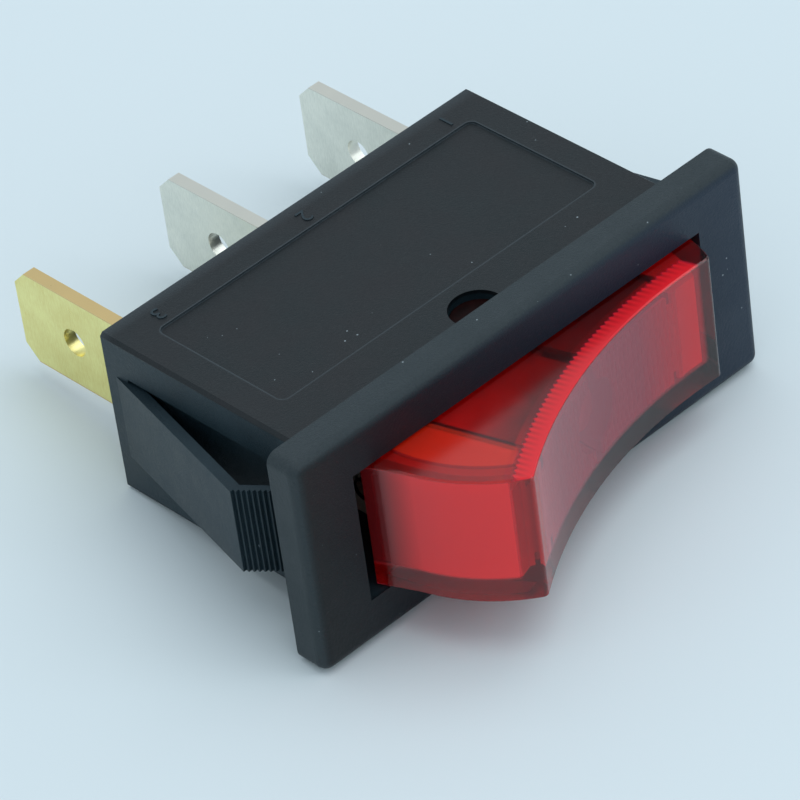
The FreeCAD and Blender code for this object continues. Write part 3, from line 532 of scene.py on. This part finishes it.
def resistor_coat():
    """Lacquered resistor with four coloured bands; a band's start and width are shares of its length."""
    mat, tree, shader = new_material("resistor_coat")
    set_sockets(shader, Roughness=0.3, Coat_Weight=0.3)
    lacquer = (0.62, 0.47, 0.27, 1)
    brown = (0.32, 0.10, 0.04, 1)
    black = (0.02, 0.02, 0.02, 1)
    yellow = (0.75, 0.55, 0.05, 1)
    gold = (0.55, 0.38, 0.10, 1)
    band_width = 0.08
    node = tree.nodes.new("ShaderNodeValToRGB")
    ramp = node.color_ramp
    ramp.interpolation = "CONSTANT"
    ramp.elements[0].color = lacquer
    ramp.elements.remove(ramp.elements[1])
    for start, colour in ((0.16, brown), (0.36, black), (0.52, yellow), (0.80, gold)):
        ramp.elements.new(start).color = colour
        ramp.elements.new(start + band_width).color = lacquer
    where = coords(tree)
    along = spread(tree, split(tree, where)[0], RESISTOR_START, RESISTOR_END)
    tree.links.new(along, node.inputs["Fac"])
    link_sockets(tree, shader, Base_Color=node.outputs["Color"])
    bump(tree, shader, noise(tree, where, 3.0, 2.0), 0.01, 0.4)
    return mat


def make_materials():
    """One finished material for each slot of the record."""
    finishes = {name: plated_metal(name, *look) for name, look in METALS.items()}
    finishes["black_nylon"] = black_nylon()
    finishes["red_lens"] = red_lens()
    finishes["white_nylon"] = white_nylon()
    finishes["lamp_envelope"] = lamp_envelope()
    finishes["resistor_coat"] = resistor_coat()
    return finishes


def dress_nodes(frame, materials):
    """Gives each CAD node its slot's material."""
    slots = {part["node"]: part["material_slot"] for part in frame["record"]["subparts"]}
    for name, node in frame["nodes"].items():
        for i in range(len(node.material_slots)):
            node.material_slots[i].material = materials[slots[name]]


# Pieces


def add_object(name, data):
    """A new object that shows the given data."""
    piece = bpy.data.objects.new(name, data)
    bpy.context.collection.objects.link(piece)
    return piece


def copy_node(frame, node, name, *materials):
    """A new piece with a copy of a node's mesh, in the given materials."""
    mesh = frame["nodes"][node].data.copy()
    mesh.name = name
    mesh.materials.clear()
    for mat in materials:
        mesh.materials.append(mat)
    return add_object(name, mesh)


def flare_ends(mesh):
    """Draws the skirt's two ends out a little, which narrows the gap to the bezel."""
    along = Vector((math.cos(THROW), math.sin(THROW), 0))
    back = Vector((-math.sin(THROW), math.cos(THROW), 0))
    for vertex in mesh.vertices:
        place = vertex.co / MM - PIVOT
        if place.dot(back) > 0 and abs(place.dot(along)) > ROCKER_HALF - TOLERANCE:
            vertex.co += along * math.copysign(SKIRT_FLARE * MM, place.dot(along))


def make_lens(frame, outside):
    """The rocker as shown: its outside clear, the faces of its hollow painted with light and shade, its pins
    painted dark as shade.
    """
    clear, core, pin = range(3)
    lens = copy_node(frame, "rocker", "rocker_lens", outside, red_core(), shaded_red_pin())
    mesh = lens.data
    for face in mesh.polygons:
        reach = max(abs(mesh.vertices[i].co.z) for i in face.vertices) / MM
        if reach < HOLLOW_SIDE + TOLERANCE:
            face.material_index = core
        elif reach > ROCKER_SIDE + TOLERANCE:
            face.material_index = pin
        else:
            face.material_index = clear
    flare_ends(mesh)
    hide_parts("rocker")
    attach(lens, "rocker")


def make_spring(frame, steel):
    """The plunger's spring, a copy of its node that moves with the plunger."""
    spring = copy_node(frame, "plunger_spring", "coil_spring", steel)
    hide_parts("plunger_spring")
    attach(spring, "plunger")
    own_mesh(spring)


def make_marks(nylon):
    """Low raised numbers beside the tabs, read from the rear."""
    for i in range(3):
        name = f"tab_number_{i + 1}"
        text = bpy.data.curves.new(name, "FONT")
        text.body = str(i + 1)
        text.size = MARK_SIZE * MM
        text.extrude = MARK_RAISE * MM
        text.align_x = text.align_y = "CENTER"
        text.materials.append(nylon)
        mark = add_object(name, text)
        mark.location = ((1 - i) * TAB_PITCH * MM, MARK_DEPTH * MM, BODY_SIDE * MM)
        mark.rotation_euler = (0, 0, math.pi)
        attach(mark, "base")


# Floor, lamps and camera


def floor_material():
    """Pale blue-white board, faintly uneven in tone."""
    mat, tree, shader = new_material("pale_floor")
    set_sockets(shader, Roughness=0.6, Specular_IOR_Level=0.2)
    tone = noise(tree, coords(tree), 0.01, 2.0)
    colour = blend_colour(tree, tone, (0.67, 0.735, 0.755), (0.71, 0.765, 0.785))
    link_sockets(tree, shader, Base_Color=colour)
    return mat


def make_floor():
    """A board under the two edges that the switch lies on, sloped from the one to the other."""
    mesh = bpy.data.meshes.new("floor")
    corners = [(-1, -1), (1, -1), (1, 1), (-1, 1)]
    mesh.from_pydata([(x * FLOOR_HALF, y * FLOOR_HALF, 0) for x, y in corners], [], [(0, 1, 2, 3)])
    mesh.materials.append(floor_material())
    floor = add_object("floor", mesh)
    floor.location = (0, 0, -BEZEL_SIDE * MM - FLOOR_DROP)
    floor.rotation_euler = (math.atan2(BEZEL_SIDE - BODY_SIDE, BODY_DEPTH), 0, 0)


def make_lamp(name, place, side, power):
    """A square lamp, its side in metres, that shines on the switch."""
    data = bpy.data.lights.new(name, "AREA")
    data.shape = "RECTANGLE"
    data.size = data.size_y = side
    data.energy = power
    data.color = LAMP_COLOUR
    lamp = add_object(name, data)
    lamp.location = place
    lamp.rotation_mode = "QUATERNION"
    lamp.rotation_quaternion = (-Vector(place)).to_track_quat("-Z", "Y")


def make_lights():
    """Pale surroundings, one broad soft lamp overhead, one faint fill from the front and right."""
    world = bpy.data.worlds.new("pale_room")
    bpy.context.scene.world = world
    world.use_nodes = True
    back = world.node_tree.nodes["Background"]
    back.inputs["Color"].default_value = ROOM_COLOUR
    back.inputs["Strength"].default_value = ROOM_STRENGTH
    make_lamp("overhead", (0.10, -0.10, 0.62), side=0.6, power=1.5)
    make_lamp("fill", (0.38, -0.48, 0.47), side=0.25, power=0.35)


def make_camera():
    """The photograph's camera, with its long lens."""
    data = bpy.data.cameras.new("photo_camera")
    data.sensor_width = SENSOR
    data.lens = LENS
    data.clip_start = 0.01
    data.clip_end = 10
    camera = add_object("photo_camera", data)
    level = math.cos(ELEVATION)
    back = Vector((math.sin(AZIMUTH) * level, -math.cos(AZIMUTH) * level, math.sin(ELEVATION)))
    camera.location = AIM + back * DISTANCE
    camera.rotation_mode = "QUATERNION"
    camera.rotation_quaternion = (-back).to_track_quat("-Z", "Y") @ Quaternion((0, 0, 1), ROLL)
    bpy.context.scene.camera = camera


with open("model.json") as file:
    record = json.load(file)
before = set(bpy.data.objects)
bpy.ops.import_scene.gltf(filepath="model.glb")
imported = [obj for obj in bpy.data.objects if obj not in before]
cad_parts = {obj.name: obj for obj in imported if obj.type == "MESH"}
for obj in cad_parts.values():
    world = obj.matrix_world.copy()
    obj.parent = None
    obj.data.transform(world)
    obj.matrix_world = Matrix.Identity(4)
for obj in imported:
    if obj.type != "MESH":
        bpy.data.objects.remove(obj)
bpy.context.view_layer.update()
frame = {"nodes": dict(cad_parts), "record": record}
bpy.context.scene.view_settings.view_transform = "Standard"
finishes = make_materials()
dress_nodes(frame, finishes)
make_lens(frame, finishes["red_lens"])
make_spring(frame, finishes["spring_steel"])
make_marks(finishes["black_nylon"])
make_floor()
make_lights()
make_camera()
